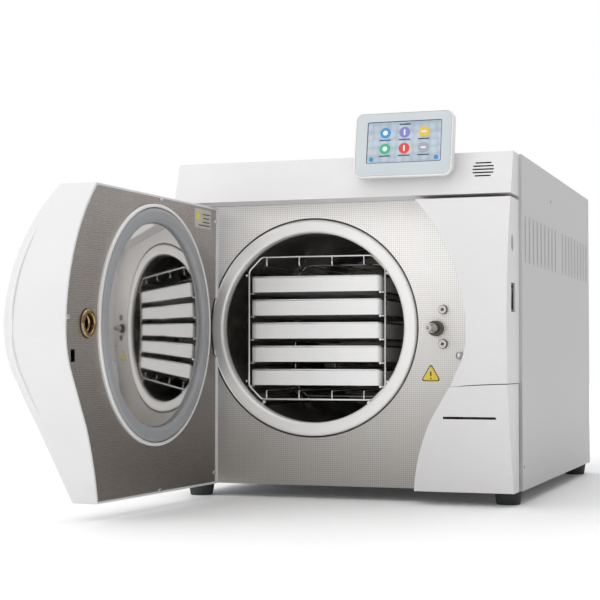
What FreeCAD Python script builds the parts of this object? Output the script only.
import FreeCAD, Part
import math
import os
import Sketcher

# Benchtop autoclave with a horizontal round chamber, front door open on its left-hand hinge.
# Frame: +Z up, the front faces -Y, X to the right. The origin is on the bench, midway between
# the four feet. Lengths in mm. The door and its pieces are drawn closed and then turned open.

V = FreeCAD.Vector
Placement = FreeCAD.Placement
Rotation = FreeCAD.Rotation

os.makedirs("parts", exist_ok=True)
doc = FreeCAD.newDocument("benchtop_autoclave")
sheet = doc.addObject("Spreadsheet::Sheet", "dims")


class Size:
    """A length that knows its formula in the sheet's cells as well as its value."""

    def __init__(self, text, value):
        self.text = text
        self.value = value

    def _with(self, other, sign, value, swapped=False):
        text = other.text if isinstance(other, Size) else repr(float(other))
        pair = (text, self.text) if swapped else (self.text, text)
        return Size("(%s %s %s)" % (pair[0], sign, pair[1]), value)

    def __add__(self, other):
        return self._with(other, "+", self.value + plain(other))

    def __radd__(self, other):
        return self._with(other, "+", plain(other) + self.value, True)

    def __sub__(self, other):
        return self._with(other, "-", self.value - plain(other))

    def __rsub__(self, other):
        return self._with(other, "-", plain(other) - self.value, True)

    def __mul__(self, other):
        return self._with(other, "*", self.value * plain(other))

    def __rmul__(self, other):
        return self._with(other, "*", plain(other) * self.value, True)

    def __truediv__(self, other):
        return self._with(other, "/", self.value / plain(other))

    def __neg__(self):
        return Size("(0 - %s)" % self.text, -self.value)


def plain(number):
    """The bare value of a Size or a number."""
    return number.value if isinstance(number, Size) else float(number)


def cell(alias, value, note):
    """One driving dimension: a row of the sheet with its alias and a note."""
    cell.row += 1
    sheet.set("A%d" % cell.row, note)
    sheet.set("B%d" % cell.row, repr(value))
    sheet.setAlias("B%d" % cell.row, alias)
    return Size("dims." + alias, float(value))


cell.row = 0

# ---- driving dimensions -------------------------------------------------------------------
cab_w = cell("cab_w", 458, "cabinet width over the side panels")
front_w = cell("front_w", 451, "width of the front covers")
cab_d = cell("cab_d", 583, "cabinet depth behind the steel fascia")
cab_h = cell("cab_h", 425, "cabinet height without feet")
foot_h = cell("foot_h", 17, "foot height")
foot_x = cell("foot_x", 209, "feet, half spacing across")
foot_y = cell("foot_y", 272, "feet, half spacing in depth")
fascia_y = cell("fascia_y", -280, "front plane of the steel fascia")
skin = cell("skin", 1.5, "sheet metal thickness")
shell_t = cell("shell_t", 3, "moulded cover wall")
chamber_x = cell("chamber_x", -49.5, "chamber axis, across")
chamber_z = cell("chamber_z", 224, "chamber axis, height over the bench")
bore_r = cell("bore_r", 125, "chamber inner radius")
flange_r = cell("flange_r", 142.5, "chamber flange outer radius")
chamber_l = cell("chamber_l", 430, "chamber length behind the fascia")
bow_r = cell("bow_r", 490, "radius of the bowed front")
bow_depth = cell("bow_depth", 83, "crown of the bowed front before the fascia")
bow_z = cell("bow_z", 220, "height of the front's crown")
brow_h = cell("brow_h", 54, "height of the brow band")
brow_low_y = cell("brow_low_y", 51, "brow face before the fascia, lower edge")
brow_top_y = cell("brow_top_y", 33, "brow face before the fascia, upper edge")
door_top = cell("door_top", 158, "door's upper edge over the chamber axis")
door_low = cell("door_low", 205, "door's lower edge under the chamber axis")
door_left = cell("door_left", 173.5, "door's hinge-side edge left of the chamber axis")
door_gap = cell("door_gap", 8, "closed door's inner panel before the fascia")
edge_gap = cell("edge_gap", 3, "gap between the door and the right cover")
hinge_x = cell("hinge_x", 159, "door hinge left of the chamber axis")
hinge_y = cell("hinge_y", 46, "door hinge before the fascia")
open_deg = cell("open_deg", 93, "door angle at rest")
lock_x = cell("lock_x", 168, "lock pin right of the chamber axis")
lock_dz = cell("lock_dz", -2, "lock pin over the chamber axis")
stud_x = cell("stud_x", 199, "door sensor stud right of the chamber axis")
stud_dz = cell("stud_dz", -37, "door sensor stud over the chamber axis")
flap_dz = cell("flap_dz", -75, "seam of the service flap at its middle, over the chamber axis")
tray_w = cell("tray_w", 182, "instrument tray width")
tray_h = cell("tray_h", 20, "instrument tray height")
tray_l = cell("tray_l", 380, "instrument tray length")
tray_pitch = cell("tray_pitch", 31, "tray spacing in the rack")
tray_low = cell("tray_low", -76, "lowest tray's floor over the chamber axis")
rack_half = cell("rack_half", 95, "rack half width and half height")
rack_chamfer = cell("rack_chamfer", 18, "corner cut of the rack")
wire_r = cell("wire_r", 1.5, "rack wire radius")
rack_front = cell("rack_front", 16, "rack front behind the fascia")
rack_l = cell("rack_l", 385, "rack length")
pod_w = cell("pod_w", 128, "display pod width")
pod_h = cell("pod_h", 86.5, "display pod height")
pod_drop = cell("pod_drop", 8, "display pod below its reference line")
pod_taper = cell("pod_taper", 6, "slope of the case's underside towards its back")
pod_t = cell("pod_t", 16, "display pod thickness")
pod_x = cell("pod_x", 89.5, "display pod centre, across")
pod_lean = cell("pod_lean", 10, "display pod lean from upright, degrees")
louvre_h = cell("louvre_h", 60, "louvre height")
louvre_w = cell("louvre_w", 9, "louvre width")
louvre_pitch = cell("louvre_pitch", 29, "louvre spacing")

cab_left = -cab_w / 2
cab_right = cab_w / 2
front_left = -front_w / 2
front_right = front_w / 2
base_z = foot_h
top_z = foot_h + cab_h
back_y = fascia_y + cab_d
brow_z = top_z - brow_h


# ---- helpers ------------------------------------------------------------------------------
def bind(obj, prop, size):
    """Set a property, and tie it to the sheet when the size has a formula."""
    if isinstance(size, Size):
        obj.setExpression(prop, size.text)


def place(obj, x, y, z, turn=None):
    """Put an object at a point, with its position tied to the sheet."""
    obj.Placement = Placement(V(plain(x), plain(y), plain(z)), turn or Rotation())
    for axis, size in (("x", x), ("y", y), ("z", z)):
        bind(obj, "Placement.Base." + axis, size)


def fresh(kind, label):
    obj = doc.addObject(kind, label)
    obj.Label = label
    return obj


def block(x, y, z, label="block"):
    """A box between two values on each axis."""
    obj = fresh("Part::Box", label)
    for prop, span in (("Length", x), ("Width", y), ("Height", z)):
        size = span[1] - span[0]
        setattr(obj, prop, plain(size))
        bind(obj, prop, size)
    place(obj, x[0], y[0], z[0])
    return obj


ALONG = {
    "+z": Rotation(),
    "-z": Rotation(V(1, 0, 0), 180),
    "+y": Rotation(V(1, 0, 0), -90),
    "-y": Rotation(V(1, 0, 0), 90),
    "+x": Rotation(V(0, 1, 0), 90),
    "-x": Rotation(V(0, 1, 0), -90),
}


def rod(r, length, at, along="+z", label="rod"):
    """A cylinder from a point along an axis."""
    obj = fresh("Part::Cylinder", label)
    obj.Radius = plain(r)
    obj.Height = plain(length)
    bind(obj, "Radius", r)
    bind(obj, "Height", length)
    place(obj, at[0], at[1], at[2], ALONG[along])
    return obj


def cut(base, *tools, label="cut"):
    """The base with the tools taken away."""
    obj = fresh("Part::Cut", label)
    obj.Base = base
    obj.Tool = tools[0] if len(tools) == 1 else group(tools)
    return obj


def group(shapes, label="group"):
    obj = fresh("Part::Compound", label)
    obj.Links = list(shapes)
    return obj


def fuse(*shapes, label="fuse"):
    obj = fresh("Part::MultiFuse", label)
    obj.Shapes = list(shapes)
    obj.Refine = True
    return obj


def common(a, b, label="common"):
    obj = fresh("Part::Common", label)
    obj.Base = a
    obj.Tool = b
    return obj


def draw(sketch, points):
    """Draw a closed outline. Each point is (u, v), or (u, v, through_u, through_v) where the
    stretch that leads to it is an arc. Every point is tied to the sheet by two distances."""
    count = len(points)
    for i, point in enumerate(points):
        last = points[i - 1]
        a = V(plain(last[0]), plain(last[1]), 0)
        b = V(plain(point[0]), plain(point[1]), 0)
        if len(point) == 4:
            middle = V(plain(point[2]), plain(point[3]), 0)
            sketch.addGeometry(Part.Arc(a, middle, b), False)
        else:
            sketch.addGeometry(Part.LineSegment(a, b), False)
    ends = []
    for i, point in enumerate(points):
        last = V(plain(points[i - 1][0]), plain(points[i - 1][1]), 0)
        start = sketch.getPoint(i, 1)
        ends.append((1, 2) if (start - last).Length < 1e-6 else (2, 1))
    for i in range(count):
        after = (i + 1) % count
        sketch.addConstraint(Sketcher.Constraint("Coincident", i, ends[i][1], after, ends[after][0]))
    for i, point in enumerate(points):
        tie(sketch, i, ends[i][1], point[0], point[1], "p%d" % i)
        if len(point) == 4:
            spot = sketch.addGeometry(Part.Point(V(plain(point[2]), plain(point[3]), 0)), True)
            tie(sketch, spot, 1, point[2], point[3], "m%d" % i)
            sketch.addConstraint(Sketcher.Constraint("PointOnObject", spot, 1, i))


def tie(sketch, geometry, end, u, v, name):
    """Hold one point of a sketch at two distances from its origin."""
    for kind, size, mark in (("DistanceX", u, "u"), ("DistanceY", v, "v")):
        held = Sketcher.Constraint(kind, -1, 1, geometry, end, plain(size))
        number = sketch.addConstraint(held)
        sketch.renameConstraint(number, name + mark)
        if isinstance(size, Size):
            sketch.setExpression("Constraints." + name + mark, size.text)


def sketch_on(owner, role, offset=0):
    """A sketch on one of a body's own origin planes, moved along its normal."""
    sketch = owner.newObject("Sketcher::SketchObject", "outline")
    plane = [f for f in owner.Origin.OriginFeatures if f.Role == role][0]
    sketch.AttachmentSupport = [(plane, "")]
    sketch.MapMode = "FlatFace"
    sketch.AttachmentOffset = Placement(V(0, 0, plain(offset)), Rotation())
    if isinstance(offset, Size):
        sketch.setExpression("AttachmentOffset.Base.z", offset.text)
    return sketch


def turned(points, at=(0, 0, 0), along="+z", label="turned"):
    """A lathe-turned solid: (radius, height) points turned about an axis through a point."""
    body = fresh("PartDesign::Body", label)
    sketch = sketch_on(body, "XZ_Plane")
    draw(sketch, points)
    spin = body.newObject("PartDesign::Revolution", "turn")
    spin.Profile = sketch
    spin.ReferenceAxis = (sketch, ["V_Axis"])
    spin.Angle = 360
    place(body, at[0], at[1], at[2], ALONG[along])
    return body


def tube(outer, inner, length, at, along="+z", label="tube"):
    """A ring or pipe: one rectangle turned about its axis."""
    points = [(inner, 0), (outer, 0), (outer, length), (inner, length)]
    return turned(points, at, along, label)


def slab(outline, role, start, end, label="slab"):
    """A flat outline given thickness: XZ outlines run from y start to y end, YZ outlines from
    x start to x end, XY outlines from z start to z end."""
    body = fresh("PartDesign::Body", label)
    flip = role == "XZ_Plane"
    sketch = sketch_on(body, role, -end if flip else start)
    draw(sketch, outline)
    pad = body.newObject("PartDesign::Pad", "thickness")
    pad.Profile = sketch
    thickness = end - start
    pad.Length = plain(thickness)
    bind(pad, "Length", thickness)
    return body


def rounded(x, y, r):
    """A rectangle outline with rounded corners."""
    k = r * (1 - math.sqrt(0.5))
    return [
        (x[1] - r, y[0]),
        (x[1], y[0] + r, x[1] - k, y[0] + k),
        (x[1], y[1] - r),
        (x[1] - r, y[1], x[1] - k, y[1] - k),
        (x[0] + r, y[1]),
        (x[0], y[1] - r, x[0] + k, y[1] - k),
        (x[0], y[0] + r),
        (x[0] + r, y[0], x[0] + k, y[0] + k),
    ]


def pipe(points, r, bend, label):
    """A tube along straight runs joined by tangent arcs."""
    path = [V(*[plain(c) for c in point]) for point in points]
    start = path[0]
    edges = []
    for before, corner, after in zip(path, path[1:], path[2:]):
        way_in = (corner - before).normalize()
        way_out = (after - corner).normalize()
        turn = way_in.getAngle(way_out)
        reach = bend * math.tan(turn / 2)
        a = corner - way_in * reach
        b = corner + way_out * reach
        inward = (way_out - way_in).normalize()
        middle = corner + inward * (bend / math.cos(turn / 2) - bend)
        edges.append(Part.LineSegment(start, a).toShape())
        edges.append(Part.Arc(a, middle, b).toShape())
        start = b
    edges.append(Part.LineSegment(start, path[-1]).toShape())
    ring = Part.Wire([Part.Circle(path[0], path[1] - path[0], r).toShape()])
    solid = Part.Wire(edges).makePipeShell([ring], True, False)
    obj = fresh("Part::Feature", label)
    obj.Shape = solid
    return obj


nodes = []


def node(obj, name):
    """Name a finished sub-part: its Label is also its file name."""
    obj.Label = name
    nodes.append(obj)
    return obj


door_turn = Rotation(V(0, 0, 1), -plain(open_deg))
door_axis = V(plain(chamber_x - hinge_x), plain(fascia_y - hinge_y), 0)


def door_node(obj, name):
    """A door piece, drawn closed, wrapped once and turned open about the hinge."""
    whole = group([obj], name)
    whole.Placement = Placement(V(0, 0, 0), door_turn, door_axis)
    return node(whole, name)


def bow(inset, label="bow"):
    """The cylinder whose front is the bowed face shared by the door and the right cover."""
    y = fascia_y - bow_depth + bow_r
    return rod(bow_r - inset, cab_w + 40, (cab_left - 20, y, bow_z), "+x", label)


# The S-shaped edge between the door and the right cover, as points right of the chamber axis
# and over it. Each has a flare: how far the edge leans out between its back and its front.
EDGE = {
    "top": (149.6, 158.8, 2),
    "upper": (199.5, 79, 5),
    "crown": (216, -7, 7),
    "turn": (211.3, -39, 6.5),
    "knee": (202.9, -58.2, 6),
    "waist": (170.7, -117.4, 4),
    "lower": (157.6, -151.3, 2.5),
    "foot": (144.4, -207, 1.5),
}
edge = {}
for mark, (ex, ez, ef) in EDGE.items():
    edge[mark] = (
        cell("edge_%s_x" % mark, ex, "door edge, %s point, across" % mark),
        cell("edge_%s_z" % mark, ez, "door edge, %s point, height" % mark),
        ef,
    )


def edge_point(mark, flare, gap):
    x, z, lean = edge[mark]
    return (chamber_x + x + lean * flare + gap, chamber_z + z)


def edge_down(flare, gap):
    """The S-edge from its top to its foot, after a point at its top."""
    top = edge_point("top", flare, gap)
    crown = edge_point("crown", flare, gap)
    knee = edge_point("knee", flare, gap)
    waist = edge_point("waist", flare, gap)
    foot = edge_point("foot", flare, gap)
    upper = edge_point("upper", flare, gap)
    turn = edge_point("turn", flare, gap)
    lower = edge_point("lower", flare, gap)
    return [top, crown + upper, knee + turn, waist, foot + lower]


def loft(outline_back, y_back, outline_front, y_front, label):
    """A solid between two outlines with the same corners, one behind the other."""
    rims = []
    for outline, y in ((outline_back, y_back), (outline_front, y_front)):
        rim = fresh("Sketcher::SketchObject", "rim")
        rim.Placement = Placement(V(0, plain(y), 0), Rotation(V(1, 0, 0), 90))
        bind(rim, "Placement.Base.y", y)
        draw(rim, outline)
        rims.append(rim)
    obj = fresh("Part::Loft", label)
    obj.Sections = rims
    obj.Solid = True
    obj.Ruled = True
    return obj


# ---- chassis, feet and fascia -------------------------------------------------------------
def make_chassis():
    flange = 22
    inside = skin + 0.2
    x = (cab_left + inside, cab_right - inside)
    y = (fascia_y + inside, back_y - inside)
    tray = block(x, y, (base_z, base_z + flange))
    room = block(
        (x[0] + skin, x[1] - skin), (y[0] + skin, y[1] - skin), (base_z + skin, base_z + flange + 1)
    )
    node(cut(tray, room), "chassis")

    feet = []
    for sx in (-1, 1):
        for sy in (-1, 1):
            profile = [(0, 0), (15, 0), (17.5, foot_h), (0, foot_h)]
            feet.append(turned(profile, (foot_x * sx, foot_y * sy, 0)))
    node(group(feet), "feet")


def make_fascia():
    top = brow_z - 0.3
    low = base_z
    sheet_x = (front_left + 1, front_right - 4)
    plate = block(sheet_x, (fascia_y, fascia_y + skin), (low, top))
    y = fascia_y - 5
    mouth = rod(flange_r + 2, 12, (chamber_x, y, chamber_z), "+y")
    lock = rod(10, 12, (chamber_x + lock_x, y, chamber_z + lock_dz), "+y")
    stud = rod(4.2, 12, (chamber_x + stud_x, y, chamber_z + stud_dz), "+y")
    screws = [
        rod(3.2, 12, (chamber_x + lock_x + 9, y, chamber_z + dz), "+y") for dz in (-22, 22)
    ]
    slot = block(
        (chamber_x - hinge_x - 12, chamber_x - hinge_x + 11),
        (y, fascia_y + 5),
        (chamber_z - 35, chamber_z + 35),
    )
    bay = block(
        (chamber_x + 186, chamber_x + 263), (y, fascia_y + 5), (base_z + 14, base_z + 116)
    )
    node(cut(plate, mouth, lock, stud, *screws, slot, bay), "fascia")


# ---- outer covers -------------------------------------------------------------------------
def make_side_panels():
    for side, name in ((-1, "side_panel_left"), (1, "side_panel_right")):
        outer = cab_w / 2 * side
        inner = outer - skin * side
        x = (outer, inner) if side < 0 else (inner, outer)
        panel = block(x, (fascia_y, back_y), (base_z, top_z))
        louvres = []
        first = fascia_y + 20
        for i in range(18):
            y = first + louvre_pitch * i + (34 if i > 8 else 0)
            louvres.append(
                block(
                    (x[0] - 1, x[1] + 1), (y, y + louvre_w), (base_z + 289, base_z + 289 + louvre_h)
                )
            )
        node(cut(panel, *louvres), name)


def make_top_and_rear():
    x = (cab_left + skin + 0.1, cab_right - skin - 0.1)
    deck = block(x, (fascia_y + 1, back_y), (top_z - skin, top_z))
    lid_x = (chamber_x + 172, chamber_x + 258)
    lid_y = (fascia_y + 155, fascia_y + 255)
    hatch = block(lid_x, lid_y, (top_z - 5, top_z + 5))
    node(cut(deck, hatch), "top_cover")

    # The tank lid lifts off: a plate over the hatch with a skirt inside it and a finger dish.
    lap = 6
    plate = slab(
        rounded((lid_x[0] - lap, lid_x[1] + lap), (lid_y[0] - lap, lid_y[1] + lap), 8),
        "XY_Plane", top_z + 0.1, top_z + 3,
    )
    play = 1
    skirt = block(
        (lid_x[0] + play, lid_x[1] - play), (lid_y[0] + play, lid_y[1] - play),
        (top_z - 5, top_z + 0.5),
    )
    inside = block(
        (lid_x[0] + 3, lid_x[1] - 3), (lid_y[0] + 3, lid_y[1] - 3), (top_z - 6, top_z + 1.1)
    )
    dish = rod(9, 4, ((lid_x[0] + lid_x[1]) / 2, lid_y[0] + 15, top_z + 1.6), "+z")
    node(cut(fuse(plate, skirt), inside, dish), "tank_lid")

    plate = block(x, (back_y - skin, back_y), (base_z, top_z - skin - 0.1))
    y = back_y - 6
    fan_hole = rod(56, 12, (-80, y, base_z + 130), "+y")
    inlet = block((150, 182), (y, back_y + 5), (base_z + 40, base_z + 66))
    drains = [rod(8, 12, (200, y, base_z + dz), "+y") for dz in (110, 150)]
    relief = rod(14, 12, (100, y, base_z + 300), "+y")
    sheet_plate = cut(plate, fan_hole, inlet, *drains, relief)

    rings = [tube(r + 1, r - 1, 2, (-80, back_y, base_z + 130), "+y") for r in (16, 28, 40, 52)]
    bars = [
        block((-80 - 60, -80 + 60), (back_y, back_y + 2), (base_z + 129, base_z + 131)),
        block((-81, -79), (back_y, back_y + 2), (base_z + 70, base_z + 190)),
    ]
    rim = tube(62, 57, 2, (-80, back_y, base_z + 130), "+y")
    node(group([sheet_plate, fuse(*rings, *bars, rim)]), "rear_panel")


def make_brow():
    face = [
        (fascia_y, brow_z),
        (fascia_y - brow_low_y, brow_z),
        (fascia_y - brow_top_y, top_z),
        (fascia_y, top_z),
    ]
    solid = slab(face, "YZ_Plane", front_left, front_right)
    room = [
        (fascia_y + 1, brow_z + shell_t),
        (fascia_y - brow_low_y + shell_t + 1, brow_z + shell_t),
        (fascia_y - brow_top_y + shell_t, top_z - shell_t),
        (fascia_y + 1, top_z - shell_t),
    ]
    hollow = slab(room, "YZ_Plane", front_left + shell_t, front_right - shell_t)
    slots = []
    for i, half in enumerate((10, 13, 13.5, 13, 10)):
        z = brow_z + 22 + 4.2 * i
        slots.append(
            block(
                (chamber_x + 238 - half, chamber_x + 238 + half),
                (fascia_y - 60, fascia_y - 30),
                (z, z + 1.8),
            )
        )
    neck = block(
        (pod_x - 17.5, pod_x + 17.5), (fascia_y - 60, fascia_y - 26), (brow_z + 38, top_z + 1)
    )
    node(cut(solid, hollow, neck, *slots), "brow_band")


def cover_outline(flare, gap, inset):
    """The right cover above the flap: down the S-edge to the seam, along it, up the side."""
    top = edge_point("top", flare, gap)
    crown = edge_point("crown", flare, gap)
    upper = edge_point("upper", flare, gap)
    knee = edge_point("knee", flare, gap)
    turn = edge_point("turn", flare, gap)
    z_low = chamber_z + flap_dz + inset
    run = (top[0], chamber_z + door_top + 1 - inset)
    right = front_right - inset
    return [
        run,
        crown + upper,
        (knee[0], knee[1]) + turn,
        (knee[0] - 7 + inset, z_low),
        (right, z_low + 4, chamber_x + 238, z_low + 2.5),
        (right, run[1]),
    ]


def flap_outline(flare, gap, inset):
    """The service flap: down the S-edge below the seam, across the foot and up the side."""
    waist = edge_point("waist", flare, gap)
    foot = edge_point("foot", flare, gap)
    lower = edge_point("lower", flare, gap)
    knee = edge_point("knee", flare, gap)
    z_top = chamber_z + flap_dz - 1 - inset
    right = front_right - inset
    return [
        (knee[0] - 8.5 + inset, z_top, chamber_x + 238, z_top + 2.5),
        waist,
        (foot[0], base_z + inset) + lower,
        (right, base_z + inset),
        (right, z_top + 4),
    ]


def make_right_cover():
    front_y = fascia_y - 90
    back = fascia_y - 0.3
    gap = edge_gap
    outer = loft(
        cover_outline(0, gap, 0), back, cover_outline(1, gap, 0), front_y, "cover_outer"
    )
    inner = loft(
        cover_outline(0, gap + shell_t, shell_t), back + 1,
        cover_outline(1, gap + shell_t, shell_t), front_y, "cover_inner",
    )
    face = common(outer, bow(0))
    room = common(inner, bow(shell_t))
    switch = block(
        (front_right - 5, front_right + 5), (fascia_y - 53, fascia_y - 27),
        (chamber_z + 17, chamber_z + 53),
    )
    port = slab(
        rounded((fascia_y - 51, fascia_y - 37), (chamber_z + 92, chamber_z + 112), 6.5),
        "YZ_Plane", front_right - 5, front_right + 5,
    )
    node(cut(face, room, switch, port), "right_cover")


def make_flap():
    front_y = fascia_y - 90
    back = fascia_y - 0.3
    gap = edge_gap
    outer = loft(flap_outline(0, gap, 0), back, flap_outline(1, gap, 0), front_y, "flap_outer")
    inner = loft(
        flap_outline(0, gap + shell_t, shell_t), back + 1,
        flap_outline(1, gap + shell_t, shell_t), front_y, "flap_inner",
    )
    shell = cut(common(outer, bow(0)), common(inner, bow(shell_t)))
    slot = block(
        (chamber_x + 193, chamber_x + 259), (fascia_y - 90, fascia_y - 40),
        (base_z + 92, base_z + 95),
    )
    clear = rod(5.2, 300, (flap_axis[0], flap_axis[1], 0), "+z")
    corner = block(
        (flap_axis[0] - 5.2, front_right + 1), (flap_axis[1], fascia_y + 1), (0, 400)
    )
    knuckles = [
        fuse(
            rod(4, 14, (flap_axis[0], flap_axis[1], z), "+z"),
            block(
                (flap_axis[0] - 2, front_right - 2), (flap_axis[1] - 9, flap_axis[1] - 2),
                (z, z + 14),
            ),
        )
        for z in (base_z + 21, base_z + 101)
    ]
    holes = [rod(2.1, 16, (flap_axis[0], flap_axis[1], z - 1), "+z") for z in (base_z + 21, base_z + 101)]
    body = cut(fuse(cut(shell, clear, corner, slot), *knuckles), *holes)
    node(body, "service_flap")
    posts = []
    for z in (base_z + 15, base_z + 95):
        pin = rod(2.05, 24, (flap_axis[0], flap_axis[1], z), "+z")
        low = rod(4, 5.5, (flap_axis[0], flap_axis[1], z), "+z")
        arm = block(
            (flap_axis[0] - 4, flap_axis[0] - 0.6), (flap_axis[1], fascia_y - 0.2), (z, z + 5.5)
        )
        posts.append(fuse(pin, low, arm))
    node(group(posts), "flap_hinges")


flap_axis = (front_right - 5.5, fascia_y - 6)


# ---- pressure vessel ----------------------------------------------------------------------
def make_vessel():
    wall = 2.5
    outer = bore_r + wall
    mouth = 3
    vessel = [
        (bore_r, 12),
        (outer, 12),
        (outer, chamber_l - 20),
        (6, chamber_l, outer * 0.55, chamber_l - 5.5),
        (0, chamber_l),
        (0, chamber_l - 4),
        (6, chamber_l - 4),
        (bore_r, chamber_l - 24, bore_r * 0.55, chamber_l - 9.5),
    ]
    at = (chamber_x, fascia_y, chamber_z)
    node(turned(vessel, at, "+y"), "pressure_vessel")
    ring = [
        (bore_r, -mouth + 1.5),
        (bore_r + 1.5, -mouth),
        (flange_r - 1.5, -mouth),
        (flange_r, -mouth + 1.5),
        (flange_r, 12),
        (bore_r, 12),
    ]
    node(turned(ring, at, "+y"), "chamber_flange")
    bands = [
        tube(outer + 2.4, outer + 0.1, 70, (chamber_x, fascia_y + y, chamber_z), "+y")
        for y in (60, 180, 300)
    ]
    node(group(bands), "heater_bands")
    node(
        tube(outer + 22, outer + 2.6, chamber_l - 60, (chamber_x, fascia_y + 26, chamber_z), "+y"),
        "insulation",
    )
    saddles = []
    for y in (110, 340):
        base = block(
            (chamber_x - 90, chamber_x + 90), (fascia_y + y, fascia_y + y + 6),
            (base_z + skin + 0.1, chamber_z - 90),
        )
        hole = rod(outer + 22.2, 30, (chamber_x, fascia_y + y - 10, chamber_z), "+y")
        foot = block(
            (chamber_x - 90, chamber_x + 90), (fascia_y + y, fascia_y + y + 30),
            (base_z + skin + 0.1, base_z + skin + 3),
        )
        saddles.append(cut(fuse(base, foot), hole))
    legs = tube(44, 40.2, 58, (chamber_x + 214, fascia_y + 345, base_z + skin + 0.1), "+z")
    node(group(saddles + [legs]), "chassis_brackets")


# ---- lock, door switch and hinge bracket --------------------------------------------------
def make_lock():
    x = chamber_x + lock_x
    z = chamber_z + lock_dz
    guide = [(6.2, -11), (9, -11), (9.8, -8), (9.8, 26), (6.2, 26)]
    bush = turned(guide, (x, fascia_y, z), "+y")
    pin = [
        (0, -38), (2.1, -38), (2.1, -45), (4.2, -45), (4.2, -41), (4.9, -38), (6.1, -30),
        (6.1, 52), (0, 52),
    ]
    node(turned(pin, (x, fascia_y, z), "+y"), "lock_pin")
    case = block((x - 16, x + 26), (fascia_y + 26.2, fascia_y + 90), (z - 30, z + 30))
    bore = rod(6.4, 50, (x, fascia_y + 25, z), "+y")
    motor = rod(14, 40, (x + 4, fascia_y + 90, z + 8), "+y")
    node(group([bush, fuse(cut(case, bore), motor)]), "lock_unit")
    screws = []
    for dz in (-22, 22):
        head = rod(5.2, 6, (x + 9, fascia_y - 6, chamber_z + dz), "+y")
        key = turned_hex(2.6, 3, (x + 9, fascia_y - 7, chamber_z + dz))
        shank = rod(3, 26, (x + 9, fascia_y, chamber_z + dz), "+y")
        screws.append(cut(fuse(head, shank), key))
    node(group(screws), "lock_screws")
    dome = [(0, -9), (5, -3, 3.9, -7.2), (5, 0), (4, 0), (4, 20), (0, 20)]
    at = (chamber_x + stud_x, fascia_y, chamber_z + stud_dz)
    node(turned(dome, at, "+y"), "door_sensor")


def turned_hex(r, length, at):
    """A hexagon socket cut from the front."""
    prism = fresh("Part::Prism", "socket")
    prism.Polygon = 6
    prism.Circumradius = r
    prism.Height = length
    place(prism, at[0], at[1], at[2], ALONG["+y"])
    return prism


def make_hinge():
    x = chamber_x - hinge_x
    y = fascia_y - hinge_y
    z = chamber_z
    arm = block((x - 9, x + 9), (y, fascia_y + 24), (z - 32, z + 32))
    knuckle = rod(11, 64, (x, y, z - 32), "+z")
    plate = block((x - 9, x + 9), (fascia_y + 18, fascia_y + 24), (z - 60, z + 60))
    hole = rod(6.05, 80, (x, y, z - 40), "+z")
    node(cut(fuse(arm, knuckle, plate), hole), "hinge_bracket")
    pin = rod(6, 118, (x, y, z - 59), "+z")
    door_node(pin, "hinge_pin")
    lugs = []
    for low in (-58, 33):
        eye = rod(11, 25, (x, y, z + low), "+z")
        web = block((x, x + 36), (y - 11, y + 11), (z + low, z + low + 25))
        lugs.append(fuse(eye, web))
    spine = block((x + 26, x + 36), (y - 11, y + 11), (z - 58, z + 58))
    holes = rod(6.0, 140, (x, y, z - 70), "+z")
    door_node(cut(fuse(*lugs, spine), holes), "door_hinge_block")


# ---- door ---------------------------------------------------------------------------------
def door_outline(flare, inset):
    gap = -inset
    points = edge_down(flare, gap)
    top = chamber_z + door_top - inset
    low = chamber_z - door_low + inset
    left = chamber_x - door_left + inset
    points[0] = (points[0][0], top)
    points[-1] = (points[-1][0], low) + points[-1][2:]
    return [(left, top)] + points + [(left, low)]


def hinge_notch(y_back):
    x = chamber_x - hinge_x
    return block((x - 30, x + 19), (fascia_y - hinge_y - 17, y_back), (chamber_z - 63, chamber_z + 63))


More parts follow.
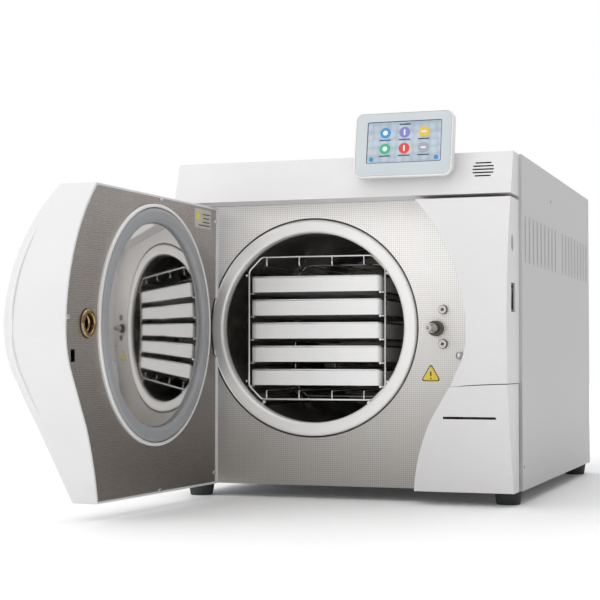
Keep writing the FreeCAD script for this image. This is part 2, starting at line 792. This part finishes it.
def make_door():
    back = fascia_y - door_gap
    front_y = fascia_y - 90
    outer = loft(door_outline(0, 0), back, door_outline(1, 0), front_y, "door_outer")
    inner = loft(
        door_outline(0, shell_t), back + 1, door_outline(1, shell_t), front_y, "door_inner"
    )
    shell = cut(common(outer, bow(0)), common(inner, bow(shell_t)), hinge_notch(fascia_y))
    door_node(shell, "door_shell")

    # The steel liner closes the shell's back, with openings for the plate, the lock and the stud.
    liner = slab(door_outline(0, shell_t + 0.2), "XZ_Plane", back - 2, back - 0.6)
    y = back - 6
    disc = rod(147.5, 12, (chamber_x, y, chamber_z), "+y")
    lock = rod(17, 12, (chamber_x + lock_x, y, chamber_z + lock_dz), "+y")
    stud = block(
        (chamber_x + stud_x - 5, chamber_x + stud_x + 5), (y, back + 5),
        (chamber_z + stud_dz - 8, chamber_z + stud_dz + 6),
    )
    hinge = block(
        (chamber_x - hinge_x - 40, chamber_x - hinge_x + 19), (y, back + 5),
        (chamber_z - 37, chamber_z + 37),
    )
    door_node(cut(liner, disc, lock, stud, hinge), "door_liner")

    # Pressure plate: a rim that carries the gasket and a dish that bulges towards the chamber.
    at = (chamber_x, fascia_y, chamber_z)
    plate = [
        (124, -9.6), (124, -14), (142.5, -14), (142.5, -20), (112, -20), (112, -14.5),
        (6, -4.5, 62, -7.7), (0, -4.5), (0, 0.5), (6, 0.5), (122, -9, 64, -2.1),
    ]
    door_node(turned(plate, at, "+y"), "door_plate")
    lip = [(124.3, -13.8), (142, -13.8), (142, -6), (138, -3.4), (128, -3.4), (124.3, -6)]
    door_node(turned(lip, at, "+y"), "door_gasket")
    ring = [(142.8, -16), (147, -16), (147, -6), (145.8, -5), (142.8, -5)]
    door_node(turned(ring, at, "+y"), "gasket_ring")

    # A strong-back bar carries the plate between the hinge block and the lock nut.
    x0 = chamber_x - hinge_x + 36.2
    bar = block(
        (x0, chamber_x + lock_x + 19), (fascia_y - 50, fascia_y - 40), (chamber_z - 22, chamber_z + 20)
    )
    hub = rod(20, 35.2, (chamber_x, fascia_y - 40.1, chamber_z), "+y")
    bolt = rod(8, 14, (chamber_x, fascia_y - 62, chamber_z), "+y")
    hole = rod(9.2, 20, (chamber_x + lock_x, fascia_y - 58, chamber_z + lock_dz), "+y")
    door_node(cut(fuse(bar, hub, bolt), hole), "door_bar")
    bx = chamber_x + lock_x
    bz = chamber_z + lock_dz
    cup = [(14.6, -39.8), (16.6, -39.8), (16.6, -8.4), (14.6, -8.4)]
    ring = turned(cup, (bx, fascia_y, bz), "+y")
    nut = [
        (8.8, -39.8), (14.2, -39.8), (14.2, -8.2), (16.2, -8.2), (16.2, -6.3), (15, -5),
        (11.6, -5), (10.6, -6), (10.2, -11.3), (8.8, -12.4),
    ]
    door_node(group([ring, turned(nut, (bx, fascia_y, bz), "+y")]), "lock_nut")


# ---- display ------------------------------------------------------------------------------
def make_display():
    half = pod_w / 2
    lean = Rotation(V(1, 0, 0), -plain(pod_lean))
    foot = (pod_x, fascia_y - 62, base_z + 402)
    # The tilt shaft lies behind the case, seen in the leaning pod's own directions.
    behind = plain(pod_t) + 5
    above = 20
    tip = math.radians(plain(pod_lean))
    pivot_y = foot[1] + behind * math.cos(tip) + above * math.sin(tip)
    pivot_z = foot[2] - behind * math.sin(tip) + above * math.cos(tip)

    def tilted(obj, name):
        whole = group([obj], name)
        place(whole, foot[0], foot[1], foot[2], lean)
        return node(whole, name)

    low = pod_drop * -1
    high = pod_h - pod_drop
    case = slab(rounded((-half, half), (low, high), 11), "XZ_Plane", pod_t * 0.35, pod_t)
    room = slab(
        rounded((-half + 2, half - 2), (low + pod_taper + 2, high - 2), 9),
        "XZ_Plane", pod_t * 0.2, pod_t - 2,
    )
    under = [(pod_t * 0.35, low - 1), (pod_t + 1, low - 1), (pod_t + 1, low + pod_taper)]
    slope = slab([*under, (pod_t * 0.35, low)], "YZ_Plane", -half - 1, half + 1)
    ears = [
        fuse(
            rod(4.5, 8, (a, pod_t + 5, 20), "+x"),
            block((a, a + 8), (pod_t - 1, pod_t + 5), (15.5, 24.5)),
        )
        for a in (-15, 7)
    ]
    bores = rod(2.55, 40, (-20, pod_t + 5, 20), "+x")
    tilted(cut(fuse(cut(case, room, slope), *ears), bores), "display_case")
    front = slab(rounded((-half, half), (low, high), 11), "XZ_Plane", 0, pod_t * 0.35 - 0.05)
    window = slab(
        rounded((-half + 13, half - 15), (11, high - 13.5), 1.5),
        "XZ_Plane", pod_t * -0.1, pod_t,
    )
    tilted(cut(front, window), "display_bezel")
    glass = slab(
        rounded((-half + 13.2, half - 15.2), (11.2, high - 13.7), 1.3),
        "XZ_Plane", pod_t * 0.05, pod_t * 0.3,
    )
    tilted(glass, "touch_screen")
    shaft = rod(2.5, 34, (pod_x - 17, pivot_y, pivot_z), "+x")
    arm = block((pod_x - 6.8, pod_x + 6.8), (pivot_y, fascia_y - 4), (pivot_z - 3, top_z - shell_t))
    node(fuse(shaft, arm), "display_bracket")


# ---- rack and trays -----------------------------------------------------------------------
def hoop(y, bend=8):
    """One wire frame of the rack: an octagon with rounded corners, swept in a round section."""
    h = plain(rack_half)
    c = plain(rack_half - rack_chamfer)
    cx = plain(chamber_x)
    cz = plain(chamber_z)
    corners = [(-c, h), (c, h), (h, c), (h, -c), (c, -h), (-c, -h), (-h, -c), (-h, c)]
    points = [V(cx + u, plain(y), cz + w) for u, w in corners]
    bends = []
    for i, corner in enumerate(points):
        way_in = (corner - points[i - 1]).normalize()
        way_out = (points[(i + 1) % 8] - corner).normalize()
        turn = way_in.getAngle(way_out)
        reach = bend * math.tan(turn / 2)
        inward = (way_out - way_in).normalize()
        middle = corner + inward * (bend / math.cos(turn / 2) - bend)
        bends.append((corner - way_in * reach, middle, corner + way_out * reach))
    runs = []
    for i, (start, middle, finish) in enumerate(bends):
        for line in (Part.LineSegment(bends[i - 1][2], start), Part.Arc(start, middle, finish)):
            first = line.FirstParameter
            ring = Part.Circle(line.value(first), line.tangent(first)[0], plain(wire_r))
            path = Part.Wire([line.toShape()])
            runs.append(path.makePipeShell([Part.Wire([ring.toShape()])], True, False))
    obj = fresh("Part::Feature", "hoop")
    obj.Shape = Part.makeCompound(runs)
    return obj


def make_rack():
    y0 = fascia_y + rack_front
    length = rack_l - wire_r * 2
    hoops = [hoop(y0 + wire_r + length / 2 * i) for i in range(3)]
    rails = []
    runner = rack_half - 6.5
    stub = 1.2
    skid = 2.2
    for side in (-1, 1):
        for level in range(5):
            z = chamber_z + tray_low + tray_pitch * level - wire_r - 0.1
            rails.append(rod(wire_r, rack_l, (chamber_x + runner * side, y0, z), "+y"))
            start = runner + wire_r if side > 0 else wire_r - rack_half
            for i in range(3):
                at = (chamber_x + start, y0 + wire_r + length / 2 * i, z)
                rails.append(rod(stub, rack_half - runner - wire_r * 2, at, "+x"))
        for way in (-1, 1):
            corner = (rack_half - rack_chamfer - 6) * way
            x_out = chamber_x + (rack_half + wire_r * 2) * side
            rails.append(rod(wire_r, rack_l, (x_out, y0, chamber_z + corner), "+y"))
        low = chamber_z - rack_half - wire_r - skid
        rails.append(rod(skid, rack_l, (chamber_x + 73 * side, y0, low), "+y"))
    node(group(hoops + rails), "rack")


def make_trays():
    y0 = fascia_y + rack_front - 4
    half = tray_w / 2
    for level in range(5):
        z = chamber_z + tray_low + tray_pitch * level
        outer = slab(
            rounded((chamber_x - half, chamber_x + half), (y0, y0 + tray_l), 8),
            "XY_Plane", z, z + tray_h,
        )
        inner = slab(
            rounded(
                (chamber_x - half + 1.2, chamber_x + half - 1.2), (y0 + 1.2, y0 + tray_l - 1.2), 7
            ),
            "XY_Plane", z + 1.2, z + tray_h + 1,
        )
        slots = [
            block(
                (chamber_x - 60 + 42 * column, chamber_x - 24 + 42 * column),
                (y0 + 30 + 40 * row, y0 + 35 + 40 * row),
                (z - 1, z + 2),
            )
            for column in range(3) for row in range(9)
        ]
        node(cut(outer, inner, *slots), "tray_%d" % (level + 1))


# ---- works inside the cabinet -------------------------------------------------------------
def hollow_tank(x, y, z, name, *fittings):
    wall = 3
    outer = block(x, y, z)
    room = block(
        (x[0] + wall, x[1] - wall), (y[0] + wall, y[1] - wall), (z[0] + wall, z[1] - wall)
    )
    node(cut(outer, room, *fittings), name)


def make_works():
    tank_x = (chamber_x + 164, chamber_x + 266)
    tank_y = (fascia_y + 130, fascia_y + 400)
    tank_z = (base_z + 300, base_z + 414)
    filler = block(
        (tank_x[0] + 8, tank_x[1] - 8), (fascia_y + 155, fascia_y + 248), (tank_z[1] - 5, tank_z[1] + 5)
    )
    hollow_tank(tank_x, tank_y, tank_z, "clean_water_tank", filler)
    used_y = (fascia_y + 452, fascia_y + 572)
    hollow_tank((cab_left + 20, chamber_x + 120), used_y, (base_z + 300, base_z + 412), "used_water_tank")

    gx = chamber_x + 214
    gy = fascia_y + 345
    can = [
        (0, 0), (38, 0), (40, 2), (40, 140), (30, 152), (8, 152), (8, 166), (0, 166),
    ]
    node(turned(can, (gx, gy, base_z + 60), "+z"), "steam_generator")

    px = chamber_x + 216
    pump = fuse(
        rod(38, 84, (px, fascia_y + 424, base_z + 62), "+y"),
        block((px - 34, px + 34), (fascia_y + 508, fascia_y + 548), (base_z + 24, base_z + 104)),
        block((px - 30, px + 30), (fascia_y + 430, fascia_y + 500), (base_z + skin + 0.1, base_z + 30)),
    )
    node(pump, "vacuum_pump")
    node(
        block(
            (chamber_x + 170, chamber_x + 262), (fascia_y + 424, fascia_y + 520),
            (base_z + 180, base_z + 250),
        ),
        "power_supply",
    )
    node(
        fuse(
            block(
                (chamber_x + 150, chamber_x + 200), (fascia_y + 130, fascia_y + 290),
                (base_z + 26, base_z + 52),
            ),
            *[
                rod(13, 32, (chamber_x + 175, fascia_y + 150 + 40 * i, base_z + 51), "+z")
                for i in range(4)
            ],
        ),
        "valve_block",
    )
    board = block(
        (cab_right - 10, cab_right - 8), (fascia_y + 120, fascia_y + 290),
        (base_z + 110, base_z + 270),
    )
    chips = [
        block(
            (cab_right - 10 - d, cab_right - 9.5), (fascia_y + y, fascia_y + y + w),
            (base_z + z, base_z + z + tall),
        )
        for y, w, z, tall, d in (
            (135, 40, 130, 30, 12), (190, 28, 128, 28, 20), (232, 44, 140, 20, 8),
            (140, 60, 190, 14, 6), (215, 22, 185, 50, 24), (250, 24, 200, 24, 16),
        )
    ]
    port = block(
        (front_right - 18, front_right - 3.2), (fascia_y - 50, fascia_y - 38),
        (chamber_z + 95, chamber_z + 109),
    )
    mouth = block(
        (front_right - 14, front_right), (fascia_y - 47, fascia_y - 41),
        (chamber_z + 96, chamber_z + 108),
    )
    node(group([fuse(board, *chips), cut(port, mouth)]), "control_board")
    fan_x = -80
    fan_z = base_z + 130
    frame = block(
        (fan_x - 60, fan_x + 60), (back_y - 30, back_y - 4), (fan_z - 60, fan_z + 60)
    )
    duct = rod(56, 60, (fan_x, back_y - 50, fan_z), "+y")
    spokes = block((fan_x - 58, fan_x + 58), (back_y - 30, back_y - 27), (fan_z - 3, fan_z + 3))
    hub = rod(16, 6, (fan_x, back_y - 30, fan_z), "+y")
    axle = rod(2, 20, (fan_x, back_y - 26, fan_z), "+y")
    node(fuse(cut(frame, duct), spokes, hub, axle), "fan_housing")
    rotor = [tube(15, 2.05, 16, (fan_x, back_y - 23.5, fan_z), "+y")]
    for i in range(7):
        tilt = Rotation(V(0, 1, 0), -360 / 7 * i).multiply(Rotation(V(1, 0, 0), 35))
        holder = group([fuse_block(12, 53, -1, 1, -7, 7)])
        holder.Placement = Placement(V(fan_x, plain(back_y) - 15.5, plain(fan_z)), tilt)
        rotor.append(holder)
    node(fuse(*rotor), "fan_rotor")
    fins = [
        block(
            (fan_x - 62, fan_x + 62), (back_y - 62, back_y - 36),
            (base_z + 74 + 9 * i, base_z + 76 + 9 * i),
        )
        for i in range(13)
    ]
    risers = [
        rod(5, 120, (fan_x + dx, back_y - 49, base_z + 70), "+z") for dx in (-40, -14, 14, 40)
    ]
    node(fuse(*fins, *risers), "condenser")

    inlet = fuse(
        block((150.3, 181.7), (back_y - 30, back_y + 0.1), (base_z + 40.3, base_z + 65.7)),
        block((145, 187), (back_y + 0.1, back_y + 3), (base_z + 36, base_z + 70)),
    )
    socket = block((154, 178), (back_y - 18, back_y + 5), (base_z + 43.5, base_z + 62.5))
    blades = [
        block((x - 1, x + 1), (back_y - 19, back_y - 3), (base_z + z, base_z + z + 6))
        for x, z in ((159, 48), (173, 48), (166, 54))
    ]
    node(fuse(cut(inlet, socket), *blades), "mains_inlet")
    barbs = []
    for dz in (110, 150):
        profile = [
            (1.9, -14), (7.8, -14), (7.8, 0), (11, 0), (11, 4), (5, 4), (5, 24), (1.9, 24),
        ]
        barbs.append(turned(profile, (200, back_y, base_z + dz), "+y"))
    valve = [
        (0, -70), (9, -70), (9, -30), (13.8, -28), (13.8, 0), (17, 0), (17, 3), (9, 3), (9, 14),
        (0, 14),
    ]
    node(turned(valve, (100, back_y, base_z + 300), "+y"), "safety_valve")

    # Service bay behind the flap: a strip printer over two quick couplings.
    bx = (chamber_x + 200, chamber_x + 259)
    case = block(bx, (fascia_y - 34, fascia_y + 40), (base_z + 64, base_z + 112))
    roll_room = block((bx[0] + 4, bx[1] - 4), (fascia_y - 40, fascia_y + 34), (base_z + 68, base_z + 114))
    axle = rod(3, 51, (bx[0] + 4, fascia_y + 4, base_z + 94), "+x")
    node(fuse(cut(case, roll_room), axle), "printer_case")
    node(
        tube(21, 3.1, 47, (bx[0] + 6, fascia_y + 4, base_z + 94), "+x"),
        "paper_roll",
    )
    couplings = []
    for dx in (206, 243):
        profile = [
            (0, -26), (7, -26), (7, -18), (9, -16), (9, -4), (12, -4), (12, 30), (0, 30),
        ]
        couplings.append(turned(profile, (chamber_x + dx, fascia_y, base_z + 40), "+y"))
    node(group(couplings + barbs), "water_couplings")

    # Mains rocker switch and a data port in the chamber_x cover's side wall.
    sy = fascia_y - 40
    sz = chamber_z + 35
    bezel = block((front_right - 18, front_right - 2), (sy - 12.8, sy + 12.8), (sz - 17.8, sz + 17.8))
    hole = block((front_right - 16, front_right + 1), (sy - 9.5, sy + 9.5), (sz - 14.5, sz + 14.5))
    pin = rod(1.5, 20, (front_right - 8, sy - 10, sz), "+y")
    node(fuse(cut(bezel, hole), pin), "switch_frame")
    paddle = [
        (-9.2, -12.5), (-4.6, -12.5), (-3.6, 0), (-2.0, 12.5), (-6.5, 12.5), (-9.2, 4), (-12, 3), (-12, -3),
        (-9.2, -4),
    ]
    key = slab(
        [(front_right + u, sz + v) for u, v in paddle], "XZ_Plane", sy - 9.2, sy + 9.2
    )
    bore = rod(1.56, 20, (front_right - 8, sy - 10, sz), "+y")
    node(cut(key, bore), "power_rocker")
    cart = [
        (0, 0), (8, 0), (8, 12), (26, 14), (26, 46), (8, 48), (8, 58), (0, 58),
    ]
    node(turned(cart, (chamber_x + 190, fascia_y + 103.9, base_z + 300), "+z"), "air_filter")


def fuse_block(x0, x1, y0, y1, z0, z1):
    """A plain box about the origin, used for the fan's blades."""
    obj = fresh("Part::Box", "blade")
    obj.Length = x1 - x0
    obj.Width = y1 - y0
    obj.Height = z1 - z0
    obj.Placement = Placement(V(x0, y0, z0), Rotation())
    return obj


def make_pipes():
    gx = plain(chamber_x) + 214
    gy = plain(fascia_y) + 345
    top = plain(base_z) + 226.1
    vx = plain(chamber_x)
    back = plain(fascia_y + chamber_l)
    cz = plain(chamber_z)
    high = top + 40
    run_y = back + 20
    steam = [
        (gx, gy, top), (gx, gy, high), (gx, run_y, high), (vx + 30, run_y, high),
        (vx + 30, run_y, cz), (vx + 30, back - 0.5, cz),
    ]
    drop_x = -94
    drop_y = back + 104
    low = plain(base_z) + 230
    exhaust = [
        (vx - 30, back - 0.5, cz - 20), (vx - 30, back + 22, cz - 20), (drop_x, back + 22, low),
        (drop_x, drop_y, low), (drop_x, drop_y, low - 39.8),
    ]
    node(group([pipe(steam, 4, 12, "steam"), pipe(exhaust, 4, 9, "exhaust")]), "pipes")


make_chassis()
make_fascia()
make_side_panels()
make_top_and_rear()
make_brow()
make_right_cover()
make_flap()
make_vessel()
make_lock()
make_hinge()
make_door()
make_display()
make_rack()
make_trays()
make_works()
make_pipes()

doc.recompute()
for obj in doc.Objects:
    if "Invalid" in obj.State or "Error" in obj.State:
        raise SystemExit("%s failed: %s" % (obj.Label, obj.State))
for obj in nodes:
    shape = obj.Shape
    if shape.isNull() or not shape.isValid() or not shape.Solids:
        raise SystemExit(obj.Label + " has no valid solid")
    shape.exportStep("parts/%s.step" % obj.Label)
    print("%-20s %2d solid(s) %12.1f mm3" % (obj.Label, len(shape.Solids), shape.Volume))
print(len(nodes), "nodes")
